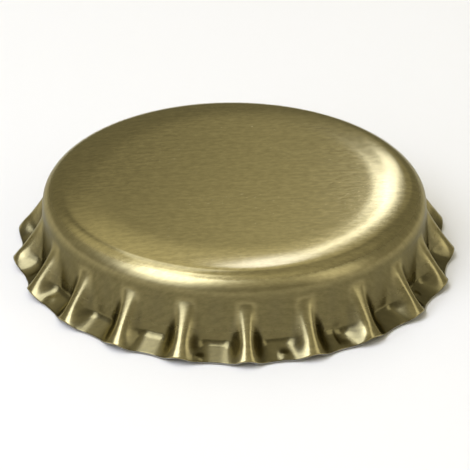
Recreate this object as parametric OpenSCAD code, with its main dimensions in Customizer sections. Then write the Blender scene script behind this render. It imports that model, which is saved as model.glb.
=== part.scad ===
// Crown cap before it is crimped: one pressed sheet shell with a fluted skirt,
// and the moulded liner that seals against a bottle's lip.
// Z is the cap's axis, z = 0 is the lowest edge of the skirt, and a crest lies on +X.

/* [Overall] */
// Diameter over the crests of the flutes
outer_d = 32.1; // [31:0.1:33]
// Height from the lowest edge to the top of the panel
cap_h = 6; // [5.6:0.05:6.6]
// Thickness of the sheet
sheet_t = 0.24; // [0.18:0.01:0.28]
// Diameter inside the plain wall, where a bottle's lip goes
throat_d = 27.12; // [26.6:0.02:27.4]

/* [Panel and wall] */
// Diameter of the panel's level middle
level_d = 19.2; // [18:0.1:20.4]
// Tilt of the panel's crown where it meets the shoulder, in degrees
crown_tilt = 7; // [3:0.5:10]
// Outside radius of the shoulder between panel and wall
shoulder_r = 1.4; // [1.1:0.05:1.6]
// Height of the plain round wall between shoulder and flutes
plain_wall_h = 0.45; // [0.3:0.05:0.6]

/* [Flutes] */
// Number of flutes around the skirt
flute_count = 21; // [18:1:24]
// Depth of the waves along the cut edge, from crest to valley
edge_wave = 0.62; // [0.4:0.02:0.8]
// How far the cut edge lies higher at a crest than in a valley
crest_lift = 0.4; // [0.1:0.02:0.5]
// Width of a crest at half its depth, where it leaves the plain wall
crest_top_w = 0.9; // [0.7:0.05:1.2]
// Width of a crest at half its depth, at the cut edge
crest_edge_w = 1.9; // [1.5:0.05:2.6]
// Outward lean of the valley walls, in degrees
valley_lean = 5; // [2:0.5:8]
// Slope of the foot, where a valley turns out to its edge, in degrees below level
foot_slope = 28; // [22:1:36]
// Radius of the bend between a valley wall and its foot, on the outside
foot_bend_r = 0.7; // [0.5:0.05:1]

/* [Liner] */
// Thickness of the thin film in the middle
film_t = 0.25; // [0.2:0.05:0.4]
// Thickness of the sealing ring around it
ring_t = 0.75; // [0.6:0.05:0.9]
// Inside diameter of the sealing ring
ring_d = 20.4; // [19:0.1:21.4]
// Radius of the two round beads on the ring
bead_r = 0.25; // [0.15:0.05:0.3]
// Distance between the two beads
bead_gap = 1.3; // [1:0.05:1.6]
// Bond line between the liner and the sheet
bond_gap = 0.02; // [0.01:0.01:0.05]

/* [Hidden] */

gold = [0.62, 0.55, 0.33];
off_white = [0.86, 0.86, 0.82];

// How fast a crest leaves the wall and widens: powers of the way down the skirt
crest_rise_power = 1.2;
crest_spread_power = 1.2;
// The edge's lift keeps closer to the ridge than the wave does: a power of the wave
lift_power = 2;
// Half width, as a share of one flute, at which crests and valleys are equally wide
even_share = 0.25;

// Rows down the skirt, and the columns beside a ridge, in half widths of the crest
wall_rows = 5;
bend_rows = 3;
foot_rows = 2;
beside_ridge = [0.5, 1, 1.7];
// Step, as a share, over which the skirt's slopes are measured
slope_step = 0.001;

// The plain wall ends this far above the flutes, and the skirt's collar reaches
// up inside it, this much thinner than the sheet on each side
seam_h = 0.05;
collar_h = 0.25;
collar_inset = 0.04;

round_fn = 180;
arc_fn = 96;
crown_fn = 360;

pitch = 360 / flute_count;
tip_r = outer_d / 2;
throat_r = throat_d / 2;
wall_r = throat_r + sheet_t;
edge_r = tip_r - edge_wave;

// The crown's arc starts at the level middle, and runs on into the shoulder's
level_r = level_d / 2;
shoulder_start = wall_r - shoulder_r;
crown_r = shoulder_r + (shoulder_start - level_r) / sin(crown_tilt);
crown_drop = (crown_r - shoulder_r) * (1 - cos(crown_tilt));
shoulder_z = cap_h - crown_drop - shoulder_r;
flute_top_z = shoulder_z - plain_wall_h;

// Half of a crest's width, as a share of one flute
crest_top_share = crest_top_w * flute_count / (4 * PI * wall_r);
crest_edge_share = crest_edge_w * flute_count / (4 * PI * edge_r);

// The cut edge is square to the sheet, so in a valley the outer skin ends above z = 0
valley_edge_z = sheet_t * cos(foot_slope);
crest_edge_z = valley_edge_z + crest_lift;

// Height at which the lines of a valley's wall and foot cross
foot_run = 1 / tan(foot_slope);
corner_z = (edge_r - wall_r - flute_top_z * tan(valley_lean) + valley_edge_z * foot_run)
         / (foot_run - tan(valley_lean));

// Lengths along a valley: wall, bend, foot
bend_turn = 90 - valley_lean - foot_slope;
bend_cut = foot_bend_r * tan(bend_turn / 2);
wall_len = (flute_top_z - corner_z) / cos(valley_lean) - bend_cut;
bend_len = foot_bend_r * bend_turn * PI / 180;
foot_len = (corner_z - valley_edge_z) / sin(foot_slope) - bend_cut;
skirt_len = wall_len + bend_len + foot_len;
bend_centre = [wall_r, flute_top_z]
            + wall_len * [sin(valley_lean), -cos(valley_lean)]
            + foot_bend_r * [cos(valley_lean), sin(valley_lean)];

// Ways down the skirt, from 0 at its top to 1 at its edge, one for each row
stations = [
    for (i = [0 : wall_rows - 1]) wall_len * i / wall_rows / skirt_len,
    for (i = [0 : bend_rows - 1]) (wall_len + bend_len * i / bend_rows) / skirt_len,
    for (i = [0 : foot_rows]) (wall_len + bend_len + foot_len * i / foot_rows) / skirt_len
];

function lerp(a, b, t) = a + (b - a) * t;

// Radius and height of a valley, at a length along it
function valley_at(s) =
    s < wall_len
        ? [wall_r, flute_top_z] + s * [sin(valley_lean), -cos(valley_lean)]
    : s < wall_len + bend_len
        ? let (turned = (s - wall_len) / foot_bend_r * 180 / PI,
               a = 180 + valley_lean + turned)
          bend_centre + foot_bend_r * [cos(a), sin(a)]
    : [edge_r, valley_edge_z]
          + (skirt_len - s) * [-cos(foot_slope), sin(foot_slope)];

// Radius and height of a crest's ridge
function crest_at(way) = [
    lerp(wall_r, tip_r, pow(way, crest_rise_power)),
    lerp(flute_top_z, crest_edge_z, way)
];

function half_share(way) =
    lerp(crest_top_share, crest_edge_share, pow(way, crest_spread_power));

// Power that a squared cosine takes to have this half width at half its height
function sharpness(share) = ln(0.5) / (2 * ln(cos(180 * share)));

// 1 on the ridge of a crest, 0 in a valley. across is a share of one flute
function wave(way, across) =
    let (share = half_share(way),
         hump = pow(cos(180 * across), 2))
    share < even_share
        ? pow(hump, sharpness(share))
        : 1 - pow(1 - hump, sharpness(2 * even_share - share));

// A point of the skirt's outer skin
function skin(way, across) =
    let (valley = valley_at(way * skirt_len),
         crest = crest_at(way),
         out = wave(way, across),
         r = lerp(valley[0], crest[0], out),
         z = lerp(valley[1], crest[1], pow(out, lift_power)),
         a = across * pitch)
    [r * cos(a), r * sin(a), z];

// Direction out of the skin. At its top the skirt joins a plain round wall
function outward(way, across) =
    way == 0
        ? [cos(across * pitch), sin(across * pitch), 0]
        : let (around = skin(way, across + slope_step) - skin(way, across - slope_step),
               down = skin(min(1, way + slope_step), across) - skin(way - slope_step, across),
               n = cross(down, around))
          n / norm(n);

// Places across one flute: from side to side over its crest, and the middle of its valley
function places(way) =
    let (beside = half_share(way) * beside_ridge)
    [for (i = [len(beside) - 1 : -1 : 0]) -beside[i], 0, each beside, 0.5];

function turned(p, a) = [
    p[0] * cos(a) - p[1] * sin(a),
    p[0] * sin(a) + p[1] * cos(a),
    p[2]
];

// One row of the skirt, all the way round. depth is measured in from the outer skin
function skirt_row(way, depth) =
    let (flute = [for (x = places(way)) skin(way, x) - depth * outward(way, x)])
    [for (i = [0 : flute_count - 1], p = flute) turned(p, i * pitch)];

// One row of the collar inside the plain wall
function collar_row(r) =
    [for (i = [0 : flute_count - 1], x = places(0))
        let (a = (i + x) * pitch)
        [r * cos(a), r * sin(a), flute_top_z + seam_h + collar_h]];

// Rows follow the sheet's section: down the outside, up the inside
module skirt() {
    rows = [
        collar_row(wall_r - collar_inset),
        for (way = stations) skirt_row(way, 0),
        for (i = [len(stations) - 1 : -1 : 0]) skirt_row(stations[i], sheet_t),
        collar_row(wall_r - sheet_t + collar_inset)
    ];
    row_n = len(rows);
    n = len(rows[0]);
    points = [for (row = rows, p = row) p];
    faces = [
        for (r = [0 : row_n - 1], c = [0 : n - 1])
            let (below = (r + 1) % row_n,
                 next = (c + 1) % n,
                 p00 = r * n + c,
                 p01 = r * n + next,
                 p10 = below * n + c,
                 p11 = below * n + next)
            each [[p00, p01, p11], [p00, p11, p10]]
    ];
    polyhedron(points = points, faces = faces);
}

// Half section of the space under the panel, in from the outer skin
module pan_section(inset) {
    crown = crown_r - inset;
    crown_end = level_r + crown * sin(crown_tilt);
    square([level_r, cap_h - inset]);
    square([wall_r - inset, shoulder_z]);
    translate([shoulder_start, shoulder_z])
        circle(r = shoulder_r - inset, $fn = arc_fn);
    intersection() {
        translate([level_r, cap_h - crown_r])
            circle(r = crown, $fn = crown_fn);
        square([crown_end, cap_h]);
    }
}

// Panel, shoulder and plain wall
module pan() {
    rotate_extrude($fn = round_fn)
        intersection() {
            difference() {
                pan_section(0);
                pan_section(sheet_t);
            }
            translate([0, flute_top_z + seam_h])
                square([wall_r, cap_h]);
        }
}

module shell() {
    color(gold)
        union() {
            pan();
            skirt();
        }
}

module liner() {
    seat_z = cap_h - sheet_t - bond_gap;
    ring_z = seat_z - ring_t;
    lip_r = (ring_d / 2 + throat_r) / 2;
    color(off_white)
        rotate_extrude($fn = round_fn) {
            intersection() {
                pan_section(sheet_t + bond_gap);
                union() {
                    translate([0, seat_z - film_t])
                        square([throat_r, film_t]);
                    translate([ring_d / 2, ring_z])
                        square([throat_r - ring_d / 2, ring_t]);
                }
            }
            for (side = [-1, 1])
                translate([lip_r + side * bead_gap / 2, ring_z])
                    circle(r = bead_r, $fn = arc_fn);
        }
}

shell();
liner();
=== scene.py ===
import random
from math import asin, cos, degrees, exp, log, pi, radians, sin, tan

import bmesh
import bpy
from mathutils import Matrix, Vector


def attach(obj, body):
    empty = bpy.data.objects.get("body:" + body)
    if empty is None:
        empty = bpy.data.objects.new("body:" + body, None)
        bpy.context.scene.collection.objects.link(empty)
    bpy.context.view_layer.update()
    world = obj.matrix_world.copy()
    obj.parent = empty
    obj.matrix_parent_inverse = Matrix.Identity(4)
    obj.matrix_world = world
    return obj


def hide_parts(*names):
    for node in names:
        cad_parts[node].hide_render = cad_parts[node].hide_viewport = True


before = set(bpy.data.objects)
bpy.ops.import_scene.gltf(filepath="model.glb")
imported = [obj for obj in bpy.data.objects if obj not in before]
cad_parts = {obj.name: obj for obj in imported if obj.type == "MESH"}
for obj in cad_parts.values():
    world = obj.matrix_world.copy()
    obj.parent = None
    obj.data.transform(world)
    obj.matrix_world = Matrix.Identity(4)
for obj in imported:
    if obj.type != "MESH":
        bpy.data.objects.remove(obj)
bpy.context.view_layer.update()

MM = 0.001

# ---------------------------------------------------------------- sizes of the cap, in millimetres

OUTER_D = 32.1
CAP_H = 6.0
SHEET_T = 0.24
THROAT_D = 27.12
SHOULDER_R = 1.4
PLAIN_WALL_H = 0.45

# The panel is level out to CROWN_START, and then bends down to CROWN_TILT at the shoulder
CROWN_START = 9.6
CROWN_TILT = radians(7)

# Bends in the section start and end softly, over this length at the rim and at the wall
SOFT_RIM = 0.8
SOFT_BEND = 0.6

FLUTE_COUNT = 21
# Depth of the waves along the cut edge, and how much higher it lies at a crest
EDGE_WAVE = 0.62
CREST_LIFT = 0.4
# Width of a crest at half its depth, at the top of the skirt and at the cut edge
CREST_TOP_W = 0.9
CREST_EDGE_W = 1.9
# A valley's wall and foot, and the bend between them
VALLEY_LEAN = radians(5)
FOOT_SLOPE = radians(28)
FOOT_BEND_R = 0.7
# Powers of the way down the skirt, and of the wave, by which a crest rises, widens and lifts
CREST_RISE_POWER = 1.2
CREST_SPREAD_POWER = 1.2
LIFT_POWER = 2
# Half width, as a share of a flute, at which crests and valleys are equally wide
EVEN_SHARE = 0.25
# Powers above 1, which make the ridges a little flatter than the wave, at the top and at the edge
FLAT_CREST_TOP = 1.8
FLAT_CREST_EDGE = 1.15

FILM_T = 0.25
RING_T = 0.75
RING_D = 20.4
BEAD_R = 0.25
BEAD_GAP = 1.3
BOND_GAP = 0.02
LINER_CORNER_R = 0.1

PITCH = 2 * pi / FLUTE_COUNT
TIP_R = OUTER_D / 2
THROAT_R = THROAT_D / 2
WALL_R = THROAT_R + SHEET_T
EDGE_R = TIP_R - EDGE_WAVE
CROWN_R = SHOULDER_R + (WALL_R - SHOULDER_R - CROWN_START) / sin(CROWN_TILT)
CROWN_DROP = (CROWN_R - SHOULDER_R) * (1 - cos(CROWN_TILT))
SHOULDER_Z = CAP_H - CROWN_DROP - SHOULDER_R
FLUTE_TOP_Z = SHOULDER_Z - PLAIN_WALL_H
CREST_TOP_SHARE = CREST_TOP_W * FLUTE_COUNT / (4 * pi * WALL_R)
CREST_EDGE_SHARE = CREST_EDGE_W * FLUTE_COUNT / (4 * pi * EDGE_R)
VALLEY_EDGE_Z = SHEET_T * cos(FOOT_SLOPE)
CREST_EDGE_Z = VALLEY_EDGE_Z + CREST_LIFT

# Lengths from the axis along the sheet, as on the flat blank
SHOULDER_AT = CROWN_START + CROWN_R * CROWN_TILT
WALL_AT = SHOULDER_AT + SHOULDER_R * (pi / 2 - CROWN_TILT)
FLUTES_AT = WALL_AT + PLAIN_WALL_H

# A valley's section: wall, bend and foot
FOOT_RUN = 1 / tan(FOOT_SLOPE)
CORNER_Z = (EDGE_R - WALL_R - FLUTE_TOP_Z * tan(VALLEY_LEAN) + VALLEY_EDGE_Z * FOOT_RUN) / (
    FOOT_RUN - tan(VALLEY_LEAN)
)
BEND_TURN = pi / 2 - VALLEY_LEAN - FOOT_SLOPE
BEND_CUT = FOOT_BEND_R * tan(BEND_TURN / 2)
WALL_LEN = (FLUTE_TOP_Z - CORNER_Z) / cos(VALLEY_LEAN) - BEND_CUT
BEND_LEN = FOOT_BEND_R * BEND_TURN
FOOT_LEN = (CORNER_Z - VALLEY_EDGE_Z) / sin(FOOT_SLOPE) - BEND_CUT
SKIRT_LEN = WALL_LEN + BEND_LEN + FOOT_LEN
BEND_CENTRE = (
    Vector((WALL_R, FLUTE_TOP_Z))
    + WALL_LEN * Vector((sin(VALLEY_LEAN), -cos(VALLEY_LEAN)))
    + FOOT_BEND_R * Vector((cos(VALLEY_LEAN), sin(VALLEY_LEAN)))
)

# Ranges over which the flutes differ. Shares are of a flute, and lengths are in millimetres
WIDTH_RANGE = (-0.07, 0.07)
SHIFT_RANGE = (-0.012, 0.012)
IN_RANGE = (0, 0.10)
LIFT_RANGE = (-0.02, 0.07)
BOW_RANGE = (-0.05, 0.05)
FLUTE_SEED = 21

# Small knocks in the foot: flute, share across it, way down the skirt, radius and height
KNOCKS = [
    (17, -0.42, 0.92, 0.38, 0.15),
    (15, 0.28, 0.93, 0.30, 0.15),
    (18, -0.38, 0.80, 0.75, -0.19),
    (18, -0.12, 0.92, 0.60, 0.12),
    (19, 0.40, 0.80, 0.30, 0.10),
    (12, 0.35, 0.88, 0.35, 0.10),
    (11, 0.10, 0.90, 0.60, 0.12),
    (11, 0.42, 0.85, 0.60, -0.10),
    (10, 0.12, 0.88, 0.60, 0.12),
    (3, -0.30, 0.85, 0.40, -0.08),
    (7, 0.25, 0.90, 0.35, 0.08),
]
# A knock inwards fades out at the cut edge, by this power of the way down the skirt
DENT_FADE_POWER = 8

# Steps of the mesh. A skirt's rows are those on its wall, bend and foot
STEPS_PER_FLUTE = 36
COLUMNS = FLUTE_COUNT * STEPS_PER_FLUTE
SECTION_ROWS = 34
SECTION_FINE_STEPS = 12
SOFT_SAMPLES = 13
OUTER_SKIRT_ROWS = (16, 12, 12)
INNER_SKIRT_ROWS = (7, 6, 5)
# Rows across the cut edge, as shares of the sheet's thickness
CUT_EDGE_ROWS = (0.12, 0.5, 0.88)
SLOPE_STEP = 0.001
LINER_COLUMNS = 240
CORNER_STEPS = 5
BEAD_STEPS = 13
SHOULDER_STEPS = 12
CROWN_STEPS = 8

# Places of the shell's materials in its mesh
OUTSIDE, CUT_EDGE, INSIDE = 0, 1, 2

# ---------------------------------------------------------------- finishes

LACQUER_DEEP = (0.30, 0.250, 0.110, 1)
LACQUER_PALE = (0.39, 0.326, 0.146, 1)
# Reflections at a glancing angle keep some of the lacquer's colour
LACQUER_GLANCE = (0.72, 0.71, 0.63, 1)
# Painted shade on the skirt: its walls' colour is multiplied by the first of these, and its flanks,
# valleys and feet are moved part way, up to the share, towards the dark colour
SKIRT_PAINTED_SHADE = (0.46, 0.46, 0.44, 1)
FLANK_PAINTED_SHADE_COLOUR = (0.10, 0.088, 0.05, 1)
FLANK_PAINTED_SHADE_SHARE = 0.22
PANEL_ROUGHNESS = 0.13
SKIRT_ROUGHNESS = 0.32
FOOT_ROUGHNESS = 0.25
GRAIN_ROUGHNESS = 0.08
GRAIN_HEIGHT = 0.0009
FLECK_RELIEF = 2.0
UNEVEN_RELIEF = 0.6

STEEL_DARK = (0.20, 0.19, 0.17, 1)
STEEL_BRIGHT = (0.42, 0.41, 0.38, 1)
STEEL_ROUGHNESS = (0.35, 0.5)
INNER_DEEP = (0.50, 0.45, 0.28, 1)
INNER_PALE = (0.60, 0.55, 0.36, 1)
INNER_ROUGHNESS = (0.24, 0.38)
COMPOUND_DULL = (0.76, 0.76, 0.715, 1)
COMPOUND_PALE = (0.82, 0.82, 0.785, 1)
COMPOUND_ROUGHNESS = (0.42, 0.58)
MOULD_RING_HEIGHT = 0.004
# Noise mostly lies in this range
NOISE_RANGE = (0.3, 0.7)

# The rolled sheet's lines run along X of the blank, on a slight slant, and wander a little
LINE_SLANT = -0.14
LINE_WANDER = 0.0005
WANDER_SCALE = (120, 260, 0)
# Each kind of line, with its scale and its share
LINES = [((1500, 3200, 0), 0.45), ((3200, 8500, 1), 0.3), ((250, 2800, 2), 0.25)]
FLECK_SCALE = (3000, 4200, 1)
FLECK_CLUSTER_SCALE = (160, 160, 1)
FLECK_CLUSTER_SHARE = 0.35
FLECK_STEP = (0.98, 1.03)

# Where the drawn skirt's roughness and its painted shade change, in millimetres from the axis along
# the sheet
DRAWN_AT = (12.4, 14.0)
PAINTED_SHADE_AT = (13.7, 14.8)
RIDGE_SHADE_LIFT_AT = (14.5, 15.9)
VALLEY_SHADE_START = (13.9, 15.2)
VALLEY_SHADE_END = (16.0, 17.6)
FLANK_SHADE_AT = (15.6, 17.4)
FOOT_AT = (16.2, 17.8)
FOOT_SHADE_AT = (17.8, 18.6)
# The same across a flute, as shares of it from its ridge
RIDGE_SHADE_LIFT_SIDE = (0.10, 0.23)
FLANK_SHADE_MIDDLE = 0.19
FLANK_SHADE_SIDE = (0.02, 0.10)
VALLEY_SHADE_SIDE = (0.3, 0.5)
FOOT_SHADE_SIDE = (0.1, 0.25)
# How much painted shade is lifted off the ridges, and how strong the painted shade is in the
# valleys and on the feet
RIDGE_SHADE_LIFT = 0.9
VALLEY_PAINTED_SHADE = 0.6
FOOT_PAINTED_SHADE = 0.8
UNEVEN_SCALE = 1100

MOULD_RING_SCALE = 5200
MOTTLE_SCALE = 420

# ---------------------------------------------------------------- floor, lamps and room

FLOOR_COLOUR = (0.79, 0.755, 0.65)
FLOOR_ROUGHNESS = 0.9
FLOOR_HALF_WIDTH = 1.0

PLAIN_LIGHT = (1, 1, 1)
COOL_LIGHT = (0.94, 1.03, 1.4)
WINDOW_LIGHT = (0.93, 1.02, 1.5)
HIGH_WINDOW_LIGHT = (0.9, 1.02, 1.85)
ROOM_LIGHT = (1.0, 0.97, 0.82)

# Directions are azimuth and elevation. Azimuth 0 is behind the cap, and positive is to the right.
# Each lamp: name, where it starts and ends, width in degrees, radiance, colour, distance in metres
NEAR = 0.5
FAR = 3
LAMPS = [
    ("window_low", (7.5, 23.0), (7.5, 31.8), 2.2, 4.2, WINDOW_LIGHT, FAR),
    ("window_side", (5.0, 27.0), (5.4, 30.2), 2.8, 4.9, WINDOW_LIGHT, FAR),
    ("window_high", (7.5, 31.5), (4.0, 38), 1.9, 3.7, WINDOW_LIGHT, FAR),
    ("window_tail", (3.4, 38), (-0.2, 43.5), 3.8, 2.9, HIGH_WINDOW_LIGHT, FAR),
    ("key", (-134, 33), (-130, 70), 36, 4.9, COOL_LIGHT, NEAR),
    ("key_low", (-138, 10), (-134, 33), 32, 2.3, COOL_LIGHT, NEAR),
    ("key_high", (-114, 67), (-58, 69), 18, 2.4, COOL_LIGHT, NEAR),
    ("key_top", (-126, 78), (-44, 79), 12, 1.3, COOL_LIGHT, NEAR),
    ("key_end", (-56, 69), (-10, 50), 14, 1.25, COOL_LIGHT, NEAR),
    ("fill", (118, 5), (112, 50), 24, 1.3, PLAIN_LIGHT, NEAR),
]

# Lighter areas of the room: azimuth, elevation, reach, core and strength
ROOM_LEVEL = 0.36
GLOWS = [
    (8, 26, 11, 7, 0.19),
    (-3, 42, 15, 0, 0.72),
    (2, 32, 6, 1, 0.14),
    (180, 65, 45, 18, 0.3),
    (35, 72, 36, 12, 0.22),
    (-60, 57, 32, 8, 0.6),
]


def lerp(a, b, t):
    return a + (b - a) * t


def spread(count, start=0.0, end=1.0, with_end=False):
    """count even values from start, up to end or just short of it."""
    steps = count - 1 if with_end else count
    return [lerp(start, end, i / steps) for i in range(count)]


def new_object(name, data):
    thing = bpy.data.objects.new(name, data)
    bpy.context.scene.collection.objects.link(thing)
    return thing


def set_in_place(thing, x_axis, y_axis, z_axis, place):
    m = Matrix((x_axis, y_axis, z_axis)).transposed().to_4x4()
    m.translation = place
    thing.matrix_world = m


def smooth_piece(bm, name):
    """The finished mesh as a piece of the cap."""
    for face in bm.faces:
        face.smooth = True
    mesh = bpy.data.meshes.new(name)
    bm.to_mesh(mesh)
    bm.free()
    return new_object(name, mesh)


# ---------------------------------------------------------------- the sheet's form


def sharp_tilt(s):
    """Tilt of the panel and shoulder at a length from the axis, with bends that start at once."""
    if s < CROWN_START:
        return 0.0
    if s < SHOULDER_AT:
        return (s - CROWN_START) / CROWN_R
    return min(CROWN_TILT + (s - SHOULDER_AT) / SHOULDER_R, pi / 2)


def tilt_at(s):
    """The same tilt with soft bends."""
    way = min(1.0, max(0.0, (s - SHOULDER_AT) / (WALL_AT - SHOULDER_AT)))
    soft = lerp(SOFT_RIM, SOFT_BEND, way)
    around = spread(SOFT_SAMPLES, s - soft / 2, s + soft / 2, with_end=True)
    return sum(sharp_tilt(near) for near in around) / len(around)


def panel_and_wall():
    """The round part's section: (radius, height, tilt of the normal, length from the axis)."""
    level_r = CROWN_START - SOFT_RIM / 2
    steps = SECTION_FINE_STEPS * SECTION_ROWS
    step = (WALL_AT + SOFT_BEND / 2 - level_r) / steps
    r, z = level_r, CAP_H
    rows = [(level_r / 2, CAP_H, 0.0, level_r / 2)]
    for i in range(steps + 1):
        s = level_r + i * step
        if i % SECTION_FINE_STEPS == 0:
            rows.append((r, z, tilt_at(s), s))
        middle = tilt_at(s + step / 2)
        r += step * cos(middle)
        z -= step * sin(middle)
    stretch = (WALL_R - level_r) / (rows[-1][0] - level_r)
    return [(max(r, level_r + (r - level_r) * stretch), z, tilt, s) for r, z, tilt, s in rows]


def valley_at(s):
    """Radius and height of a valley, at a length down it."""
    if s < WALL_LEN:
        return Vector((WALL_R, FLUTE_TOP_Z)) + s * Vector((sin(VALLEY_LEAN), -cos(VALLEY_LEAN)))
    if s < WALL_LEN + BEND_LEN:
        around = pi + VALLEY_LEAN + (s - WALL_LEN) / FOOT_BEND_R
        return BEND_CENTRE + FOOT_BEND_R * Vector((cos(around), sin(around)))
    return Vector((EDGE_R, VALLEY_EDGE_Z)) + (SKIRT_LEN - s) * Vector(
        (-cos(FOOT_SLOPE), sin(FOOT_SLOPE))
    )


def crest_at(way):
    """Radius and height of a crest's ridge, from 0 at the top of the skirt to 1 at its edge."""
    return Vector((
        lerp(WALL_R, TIP_R, way**CREST_RISE_POWER),
        lerp(FLUTE_TOP_Z, CREST_EDGE_Z, way),
    ))


def sharpness(share):
    """The power of a cosine hump that is at half its height share of a flute from its middle."""
    return log(0.5) / (2 * log(cos(pi * share)))


class Flute:
    """How one flute differs from the even ones."""

    def __init__(self, number, rng):
        self.number = number
        self.width = 1 + rng.uniform(*WIDTH_RANGE)
        self.shift = rng.uniform(*SHIFT_RANGE)
        self.in_r = rng.uniform(*IN_RANGE)
        self.lift = rng.uniform(*LIFT_RANGE)
        self.bow = rng.uniform(*BOW_RANGE)


FLUTE_RNG = random.Random(FLUTE_SEED)
FLUTES = [Flute(k, FLUTE_RNG) for k in range(FLUTE_COUNT)]


def knocked(k, way, across):
    """How far the knocks push a flute's skin out."""
    push = 0.0
    for flute, at, down, radius, height in KNOCKS:
        if flute == k:
            aside = (across - at) * PITCH * EDGE_R
            along = (way - down) * SKIRT_LEN
            push += height * exp(-(aside**2 + along**2) / radius**2)
    return max(push, push * (1 - way**DENT_FADE_POWER))


def wave(way, across, flute):
    """1 on the ridge of a crest and 0 in a valley. across is a share of one flute."""
    share = lerp(CREST_TOP_SHARE, CREST_EDGE_SHARE, way**CREST_SPREAD_POWER) * flute.width
    across -= flute.shift * way * cos(pi * across) ** 2
    hump = cos(pi * across) ** 2
    if share < EVEN_SHARE:
        out = hump ** sharpness(share)
    else:
        out = 1 - (1 - hump) ** sharpness(2 * EVEN_SHARE - share)
    return 1 - (1 - out) ** lerp(FLAT_CREST_TOP, FLAT_CREST_EDGE, way)


def skin(way, across, flute):
    """A point of the skirt's outer skin, with the flute's crest turned to +X."""
    valley = valley_at(way * SKIRT_LEN)
    crest = crest_at(way)
    out = wave(way, across, flute)
    r = lerp(valley.x, crest.x, out) - out * (flute.in_r * way + flute.bow * sin(pi * way))
    z = lerp(valley.y, crest.y, out**LIFT_POWER) + out**LIFT_POWER * flute.lift * way**2
    push = knocked(flute.number, way, across)
    r += push * sin(FOOT_SLOPE)
    z += push * cos(FOOT_SLOPE)
    turn = across * PITCH
    return Vector((r * cos(turn), r * sin(turn), z))


def outward(way, across, flute):
    """The direction out of the skirt's skin. At its top the skirt joins a plain round wall."""
    if way == 0:
        return Vector((cos(across * PITCH), sin(across * PITCH), 0))
    around = skin(way, across + SLOPE_STEP, flute) - skin(way, across - SLOPE_STEP, flute)
    above = skin(way - SLOPE_STEP, across, flute)
    down = skin(min(1.0, way + SLOPE_STEP), across, flute) - above
    return down.cross(around).normalized()


def turned(p, angle):
    c, s = cos(angle), sin(angle)
    return Vector((p.x * c - p.y * s, p.x * s + p.y * c, p.z))


def skirt_row(way, depth):
    """One row of the skirt, all the way round, depth in from its outer skin."""
    half = STEPS_PER_FLUTE // 2
    row = []
    for k, flute in enumerate(FLUTES):
        for i in range(-half, half):
            across = i / STEPS_PER_FLUTE
            p = skin(way, across, flute) - depth * outward(way, across, flute)
            p.z = max(p.z, 0.0)
            row.append(turned(p, k * PITCH))
    return row[half:] + row[:half]


def round_row(r, z):
    return [
        Vector((r * cos(2 * pi * i / COLUMNS), r * sin(2 * pi * i / COLUMNS), z))
        for i in range(COLUMNS)
    ]


def skirt_stations(wall_rows, bend_rows, foot_rows):
    """Ways down the skirt, from 0 at its top to 1 at its edge."""
    bend_start = WALL_LEN / SKIRT_LEN
    foot_start = (WALL_LEN + BEND_LEN) / SKIRT_LEN
    return (
        spread(wall_rows, 0.0, bend_start)
        + spread(bend_rows, bend_start, foot_start)
        + spread(foot_rows, foot_start, 1.0, with_end=True)
    )


def build_shell():
    """The pressed sheet as one closed skin: down the outside, round the cut edge, up the inside."""
    bm = bmesh.new()
    blank = bm.loops.layers.uv.new("blank")
    place = {}
    rows = []

    def add_row(points, blank_r, finish):
        row = []
        for i, p in enumerate(points):
            v = bm.verts.new(p * MM)
            a = 2 * pi * i / COLUMNS
            place[v] = (blank_r * MM * cos(a), blank_r * MM * sin(a))
            row.append(v)
        rows.append((row, finish))

    def cap_off(row, z, finish):
        centre = bm.verts.new((0, 0, z * MM))
        place[centre] = (0.0, 0.0)
        for i in range(COLUMNS):
            corners = (centre, row[i], row[(i + 1) % COLUMNS])
            face = bm.faces.new(corners[::-1] if finish == INSIDE else corners)
            face.material_index = finish

    section = panel_and_wall()
    for r, z, tilt, s in section:
        add_row(round_row(r, z), s, OUTSIDE)
    for way in skirt_stations(*OUTER_SKIRT_ROWS):
        add_row(skirt_row(way, 0), FLUTES_AT + way * SKIRT_LEN, OUTSIDE)
    for share in CUT_EDGE_ROWS:
        add_row(skirt_row(1.0, SHEET_T * share), FLUTES_AT + SKIRT_LEN, CUT_EDGE)
    for way in reversed(skirt_stations(*INNER_SKIRT_ROWS)):
        add_row(skirt_row(way, SHEET_T), FLUTES_AT + way * SKIRT_LEN, INSIDE)
    for r, z, tilt, s in reversed(section[::2]):
        inner = (r - SHEET_T * sin(tilt), z - SHEET_T * cos(tilt))
        add_row(round_row(*inner), s, INSIDE)

    for (above, _), (below, finish) in zip(rows, rows[1:]):
        for i in range(COLUMNS):
            j = (i + 1) % COLUMNS
            face = bm.faces.new((above[i], below[i], below[j], above[j]))
            face.material_index = finish
    cap_off(rows[0][0], CAP_H, OUTSIDE)
    cap_off(rows[-1][0], CAP_H - SHEET_T, INSIDE)
    for face in bm.faces:
        for loop in face.loops:
            loop[blank].uv = place[loop.vert]
    return smooth_piece(bm, "cap_shell")


def arc(centre, radius, start, end, count):
    """Points of an arc in the half section. Angles are in degrees, from +r towards +z."""
    return [
        (centre[0] + radius * cos(radians(a)), centre[1] + radius * sin(radians(a)))
        for a in spread(count, start, end, with_end=True)
    ]


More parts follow.
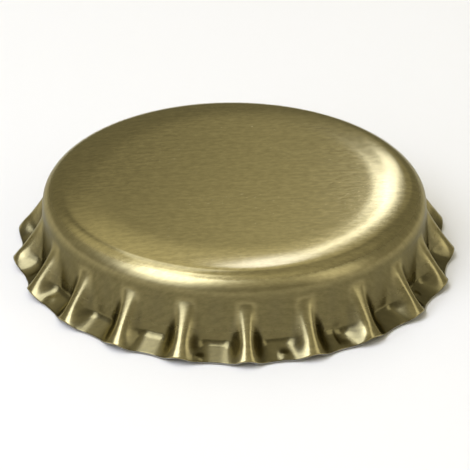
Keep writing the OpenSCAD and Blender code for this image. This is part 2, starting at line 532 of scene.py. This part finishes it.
def liner_section():
    """The liner's closed half section, from the axis out along its open side and back above."""
    gap = SHEET_T + BOND_GAP
    film_z = CAP_H - gap - FILM_T
    ring_z = CAP_H - gap - RING_T
    ring_r = RING_D / 2
    lip_r = (ring_r + THROAT_R) / 2
    soft = LINER_CORNER_R
    shoulder = (WALL_R - SHOULDER_R, SHOULDER_Z)
    side = SHOULDER_R - gap
    reach = degrees(asin((ring_z - SHOULDER_Z) / side))
    crown = (CROWN_START, CAP_H - CROWN_R)
    crown_end = 90 - degrees(CROWN_TILT)
    points = [(0, film_z), (ring_r * 0.5, film_z)]
    points += arc((ring_r - soft, film_z - soft), soft, 90, 0, CORNER_STEPS)
    points += arc((ring_r + soft, ring_z + soft), soft, 180, 270, CORNER_STEPS)
    for way in (-0.5, 0.5):
        points += arc((lip_r + way * BEAD_GAP, ring_z), BEAD_R, 180, 360, BEAD_STEPS)
    points += arc(shoulder, side, reach, crown_end, SHOULDER_STEPS)
    points += arc(crown, CROWN_R - gap, crown_end, 90, CROWN_STEPS)[1:]
    points.append((0, CAP_H - gap))
    return points


def build_liner():
    bm = bmesh.new()
    section = liner_section()
    rows = []
    for r, z in section[1:-1]:
        rows.append([
            bm.verts.new((r * MM * cos(a), r * MM * sin(a), z * MM))
            for a in spread(LINER_COLUMNS, 0, 2 * pi)
        ])
    for inner, outer in zip(rows, rows[1:]):
        for i in range(LINER_COLUMNS):
            j = (i + 1) % LINER_COLUMNS
            bm.faces.new((inner[i], inner[j], outer[j], outer[i]))
    for row, (_, z) in ((rows[0], section[0]), (rows[-1], section[-1])):
        centre = bm.verts.new((0, 0, z * MM))
        for i in range(LINER_COLUMNS):
            bm.faces.new((centre, row[(i + 1) % LINER_COLUMNS], row[i]))
    bmesh.ops.recalc_face_normals(bm, faces=bm.faces)
    return smooth_piece(bm, "cap_liner")


# ---------------------------------------------------------------- materials


def add(tree, kind, **settings):
    node = tree.nodes.new(kind)
    for key, value in settings.items():
        setattr(node, key, value)
    return node


def feed(tree, node, **sources):
    """Set or link a node's inputs, numbered i0, i1 and so on."""
    for key, source in sources.items():
        socket = node.inputs[int(key[1:])]
        if isinstance(source, bpy.types.NodeSocket):
            tree.links.new(source, socket)
        else:
            socket.default_value = source
    return node


def maths(tree, operation, *sources):
    node = add(tree, "ShaderNodeMath", operation=operation)
    feed(tree, node, **{f"i{k}": source for k, source in enumerate(sources)})
    return node.outputs[0]


def product(tree, a, b):
    return maths(tree, "MULTIPLY", a, b)


def total(tree, first, *others):
    for other in others:
        first = maths(tree, "ADD", first, other)
    return first


def vector_maths(tree, operation, *sources):
    node = add(tree, "ShaderNodeVectorMath", operation=operation)
    feed(tree, node, **{f"i{k}": source for k, source in enumerate(sources)})
    return node


def scaled(tree, place, factors):
    return vector_maths(tree, "MULTIPLY", place, factors).outputs[0]


def between(tree, value, low, high, to_low=0.0, to_high=1.0):
    """A smooth step of value, from to_low at low to to_high at high."""
    node = add(tree, "ShaderNodeMapRange", interpolation_type="SMOOTHSTEP")
    feed(tree, node, i0=value, i1=low, i2=high, i3=to_low, i4=to_high)
    return node.outputs[0]


def mixed(tree, factor, first, second, blend_type="MIX"):
    """The colour first, moved to second by factor."""
    node = add(tree, "ShaderNodeMix", data_type="RGBA", blend_type=blend_type)
    feed(tree, node, i0=factor, i6=first, i7=second)
    return node.outputs[2]


def noise(tree, place, detail, scale=1.0):
    node = add(tree, "ShaderNodeTexNoise", noise_dimensions="3D")
    tree.links.new(place, node.inputs["Vector"])
    node.inputs["Scale"].default_value = scale
    node.inputs["Detail"].default_value = detail
    return node.outputs[0]


def effect(name, gives):
    """An empty group that takes a place, with the sockets of its input and output nodes."""
    tree = bpy.data.node_groups.new(name, "ShaderNodeTree")
    tree.interface.new_socket("Place", in_out="INPUT", socket_type="NodeSocketVector")
    for label in gives:
        tree.interface.new_socket(label, in_out="OUTPUT", socket_type="NodeSocketFloat")
    place = add(tree, "NodeGroupInput").outputs["Place"]
    return tree, place, add(tree, "NodeGroupOutput").inputs


def rolled_sheet():
    """The mill's fine lines along X of the flat sheet, and a few bright flecks."""
    tree, place, result = effect("rolled_sheet", ["Lines", "Flecks"])
    wander = noise(tree, scaled(tree, place, WANDER_SCALE), 1)
    across = add(tree, "ShaderNodeSeparateXYZ")
    tree.links.new(place, across.inputs[0])
    slant = product(tree, across.outputs["X"], LINE_SLANT)
    lift = add(tree, "ShaderNodeCombineXYZ")
    tree.links.new(total(tree, slant, product(tree, wander, LINE_WANDER)), lift.inputs[1])
    bent = vector_maths(tree, "ADD", place, lift.outputs[0]).outputs[0]
    lines = [
        product(tree, noise(tree, scaled(tree, bent, scale), 1), share) for scale, share in LINES
    ]
    tree.links.new(total(tree, *lines), result["Lines"])
    spots = noise(tree, scaled(tree, place, FLECK_SCALE), 0)
    clusters = noise(tree, scaled(tree, place, FLECK_CLUSTER_SCALE), 0)
    spots = total(tree, spots, product(tree, clusters, FLECK_CLUSTER_SHARE))
    tree.links.new(between(tree, spots, *FLECK_STEP), result["Flecks"])
    return tree


def drawn_metal_and_painted_shade():
    """The skirt is drawn satin and a little uneven, and it gets painted shade, darkest beside the
    crests.
    """
    tree, place, result = effect("drawn_metal_and_painted_shade", ["Drawn", "Foot", "Painted_shade", "Painted_flank_shade", "Unevenness"])
    out = vector_maths(tree, "LENGTH", place).outputs["Value"]
    parts = add(tree, "ShaderNodeSeparateXYZ")
    tree.links.new(place, parts.inputs[0])
    turn = maths(tree, "ARCTAN2", parts.outputs["Y"], parts.outputs["X"])
    off_ridge = maths(tree, "PINGPONG", maths(tree, "DIVIDE", turn, PITCH), 0.5)

    def down(step, *levels):
        return between(tree, out, step[0] * MM, step[1] * MM, *levels)

    def aside(step, *levels):
        return between(tree, off_ridge, *step, *levels)

    tree.links.new(down(DRAWN_AT), result["Drawn"])
    tree.links.new(down(FOOT_AT), result["Foot"])

    # Painted shade on the skirt's walls, lifted off the ridges so that their highlights stay bright
    ridge = product(tree, aside(RIDGE_SHADE_LIFT_SIDE, RIDGE_SHADE_LIFT, 0.0), down(RIDGE_SHADE_LIFT_AT))
    painted_shade = product(tree, down(PAINTED_SHADE_AT), maths(tree, "SUBTRACT", 1.0, ridge))
    tree.links.new(painted_shade, result["Painted_shade"])

    # More painted shade beside the crests, down the middle of the valleys and on the feet
    flank_shade = maths(tree, "ABSOLUTE", maths(tree, "SUBTRACT", off_ridge, FLANK_SHADE_MIDDLE))
    flank_shade = product(tree, between(tree, flank_shade, *FLANK_SHADE_SIDE, 1.0, 0.0), down(FLANK_SHADE_AT))
    valley = product(tree, down(VALLEY_SHADE_START), down(VALLEY_SHADE_END, 1.0, 0.0))
    valley = product(tree, aside(VALLEY_SHADE_SIDE, 0.0, VALLEY_PAINTED_SHADE), valley)
    foot = product(tree, down(FOOT_SHADE_AT, 0.0, FOOT_PAINTED_SHADE), aside(FOOT_SHADE_SIDE))
    painted_dark = maths(tree, "MAXIMUM", total(tree, flank_shade, valley), foot)
    tree.links.new(painted_dark, result["Painted_flank_shade"])
    tree.links.new(noise(tree, place, 2, UNEVEN_SCALE), result["Unevenness"])
    return tree


def moulded_compound():
    """Turned rings from the mould's punch, and a slow mottle."""
    tree, place, result = effect("moulded_compound", ["Rings", "Mottle"])
    out = vector_maths(tree, "LENGTH", scaled(tree, place, (1, 1, 0))).outputs["Value"]
    reach = add(tree, "ShaderNodeCombineXYZ")
    tree.links.new(product(tree, out, MOULD_RING_SCALE), reach.inputs[0])
    tree.links.new(noise(tree, reach.outputs[0], 2), result["Rings"])
    tree.links.new(noise(tree, place, 3, MOTTLE_SCALE), result["Mottle"])
    return tree


def group(tree, used, place):
    node = add(tree, "ShaderNodeGroup", node_tree=used)
    tree.links.new(place, node.inputs["Place"])
    return node.outputs


def new_finish(name):
    """A new material, with its tree and its shader."""
    mat = bpy.data.materials.new(name)
    mat.use_nodes = True
    return mat, mat.node_tree, mat.node_tree.nodes["Principled BSDF"]


def on_blank(tree):
    """The place on the flat blank that the cap was pressed from."""
    return add(tree, "ShaderNodeUVMap", uv_map="blank").outputs[0]


def relief(tree, p, height, distance):
    bump = add(tree, "ShaderNodeBump")
    bump.inputs["Strength"].default_value = 1.0
    bump.inputs["Distance"].default_value = distance * MM
    tree.links.new(height, bump.inputs["Height"])
    tree.links.new(bump.outputs[0], p.inputs["Normal"])


def gold_lacquer(rolled, drawn):
    mat, tree, p = new_finish("gold_lacquer")
    place = on_blank(tree)
    sheet = group(tree, rolled, place)
    skirt = group(tree, drawn, place)

    grain = between(tree, sheet["Lines"], *NOISE_RANGE)
    colour = mixed(tree, grain, LACQUER_DEEP, LACQUER_PALE)
    # Painted shade darkens the skirt's walls, flanks, valleys and feet in the base colour
    colour = mixed(tree, skirt["Painted_shade"], colour, SKIRT_PAINTED_SHADE, "MULTIPLY")
    colour = mixed(tree, product(tree, skirt["Painted_flank_shade"], FLANK_PAINTED_SHADE_SHARE), colour, FLANK_PAINTED_SHADE_COLOUR)
    tree.links.new(colour, p.inputs["Base Color"])
    p.inputs["Metallic"].default_value = 1.0
    p.inputs["Specular Tint"].default_value = LACQUER_GLANCE

    satin = between(tree, skirt["Drawn"], 0, 1, PANEL_ROUGHNESS, SKIRT_ROUGHNESS)
    smoother = product(tree, skirt["Foot"], SKIRT_ROUGHNESS - FOOT_ROUGHNESS)
    satin = maths(tree, "SUBTRACT", satin, smoother)
    uneven = product(tree, maths(tree, "SUBTRACT", sheet["Lines"], 0.5), GRAIN_ROUGHNESS)
    tree.links.new(total(tree, satin, uneven), p.inputs["Roughness"])

    flecks = product(tree, sheet["Flecks"], FLECK_RELIEF)
    bumps = product(tree, skirt["Unevenness"], UNEVEN_RELIEF)
    relief(tree, p, total(tree, sheet["Lines"], flecks, bumps), GRAIN_HEIGHT)
    return mat


def cut_steel(rolled):
    """The sheared edge: bare grey metal with the shear's fine lines across it."""
    mat, tree, p = new_finish("cut_edge")
    sheet = group(tree, rolled, on_blank(tree))
    tree.links.new(mixed(tree, sheet["Lines"], STEEL_DARK, STEEL_BRIGHT), p.inputs["Base Color"])
    p.inputs["Metallic"].default_value = 1.0
    tree.links.new(between(tree, sheet["Lines"], 0, 1, *STEEL_ROUGHNESS), p.inputs["Roughness"])
    return mat


def inner_lacquer(rolled, drawn):
    """The thinner coat inside, over which the liner is moulded."""
    mat, tree, p = new_finish("inner_lacquer")
    place = on_blank(tree)
    sheet = group(tree, rolled, place)
    skirt = group(tree, drawn, place)
    tree.links.new(mixed(tree, sheet["Lines"], INNER_DEEP, INNER_PALE), p.inputs["Base Color"])
    p.inputs["Metallic"].default_value = 1.0
    uneven = between(tree, skirt["Unevenness"], 0, 1, *INNER_ROUGHNESS)
    tree.links.new(uneven, p.inputs["Roughness"])
    return mat


def liner_compound():
    mat, tree, p = new_finish("liner_compound")
    place = add(tree, "ShaderNodeTexCoord").outputs["Object"]
    moulded = group(tree, moulded_compound(), place)
    mottle = between(tree, moulded["Mottle"], *NOISE_RANGE)
    tree.links.new(mixed(tree, mottle, COMPOUND_DULL, COMPOUND_PALE), p.inputs["Base Color"])
    satin = between(tree, moulded["Mottle"], 0, 1, *COMPOUND_ROUGHNESS)
    tree.links.new(satin, p.inputs["Roughness"])
    relief(tree, p, moulded["Rings"], MOULD_RING_HEIGHT)
    return mat


# ---------------------------------------------------------------- camera, floor and light


def make_camera():
    elevation = radians(29.89)
    azimuth = radians(0.79)
    roll = radians(-0.479)
    distance = 199.75
    # How far the camera looks to the right of the origin and above it, in millimetres
    aim_right = 0.057
    aim_up = 1.285
    focal_px = 2745.8
    image_px = 470
    right = Vector((cos(azimuth), sin(azimuth), 0))
    back = Vector((sin(azimuth) * cos(elevation), -cos(azimuth) * cos(elevation), sin(elevation)))
    up = back.cross(right)
    eye = back * (distance * MM)
    back = (eye - (aim_right * right + aim_up * up) * MM).normalized()
    right = up.cross(back).normalized()
    up = back.cross(right)
    camera = new_object("camera", bpy.data.cameras.new("camera"))
    rolled_right = cos(roll) * right - sin(roll) * up
    rolled_up = sin(roll) * right + cos(roll) * up
    set_in_place(camera, rolled_right, rolled_up, back, eye)
    camera.data.sensor_width = 36.0
    camera.data.lens = focal_px * camera.data.sensor_width / image_px
    camera.data.clip_start = 0.01
    camera.data.clip_end = 10
    bpy.context.scene.camera = camera


def pale_floor():
    """A plain sheet of pale paper, which the cap stands on."""
    sheet = new_object("floor", bpy.data.meshes.new("floor"))
    half = FLOOR_HALF_WIDTH
    corners = [(x * half, y * half, 0) for x, y in ((-1, -1), (1, -1), (1, 1), (-1, 1))]
    sheet.data.from_pydata(corners, [], [(0, 1, 2, 3)])
    mat, _, p = new_finish("floor_paper")
    p.inputs["Base Color"].default_value = (*FLOOR_COLOUR, 1)
    p.inputs["Roughness"].default_value = FLOOR_ROUGHNESS
    sheet.data.materials.append(mat)


def towards(azimuth, elevation):
    """The direction from the cap."""
    a, e = radians(azimuth), radians(elevation)
    return Vector((sin(a) * cos(e), cos(a) * cos(e), sin(e)))


def soft_box(name, start, end, width, radiance, colour, distance):
    """A rectangular lamp that reaches from one direction to another, seen from the cap."""
    a, b = towards(*start), towards(*end)
    back = (a + b).normalized()
    along = (b - a).normalized()
    across = along.cross(back)
    lamp = bpy.data.lights.new(name, "AREA")
    lamp.shape = "RECTANGLE"
    lamp.size = 2 * distance * tan(radians(width / 2))
    lamp.size_y = 2 * distance * tan(a.angle(b) / 2)
    lamp.energy = radiance * pi * lamp.size * lamp.size_y
    lamp.color = colour
    set_in_place(new_object(name, lamp), across, along, back, back * distance)


def dim_room():
    """A plain dim room, lighter behind the cap and in a few other places."""
    world = bpy.data.worlds.new("room")
    world.use_nodes = True
    tree = world.node_tree
    way = add(tree, "ShaderNodeTexCoord").outputs["Generated"]

    def glow(azimuth, elevation, reach, core, strength):
        """A round lighter area, at full strength within core degrees and gone at reach degrees."""
        facing = vector_maths(tree, "DOT_PRODUCT", way, towards(azimuth, elevation))
        facing = facing.outputs["Value"]
        return between(tree, facing, cos(radians(reach)), cos(radians(core)), 0, strength)

    background = tree.nodes["Background"]
    background.inputs["Color"].default_value = (*ROOM_LIGHT, 1)
    level = total(tree, ROOM_LEVEL, *[glow(*area) for area in GLOWS])
    tree.links.new(level, background.inputs["Strength"])
    return world


# ---------------------------------------------------------------- the cap and its setting

rolled = rolled_sheet()
drawn = drawn_metal_and_painted_shade()
shell = build_shell()
shell.data.materials.append(gold_lacquer(rolled, drawn))
shell.data.materials.append(cut_steel(rolled))
shell.data.materials.append(inner_lacquer(rolled, drawn))
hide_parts("shell")
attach(shell, "root")

liner = build_liner()
liner.data.materials.append(liner_compound())
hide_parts("liner")
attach(liner, "root")

make_camera()
pale_floor()
for lamp in LAMPS:
    soft_box(*lamp)
bpy.context.scene.world = dim_room()
bpy.context.scene.view_settings.view_transform = "Standard"
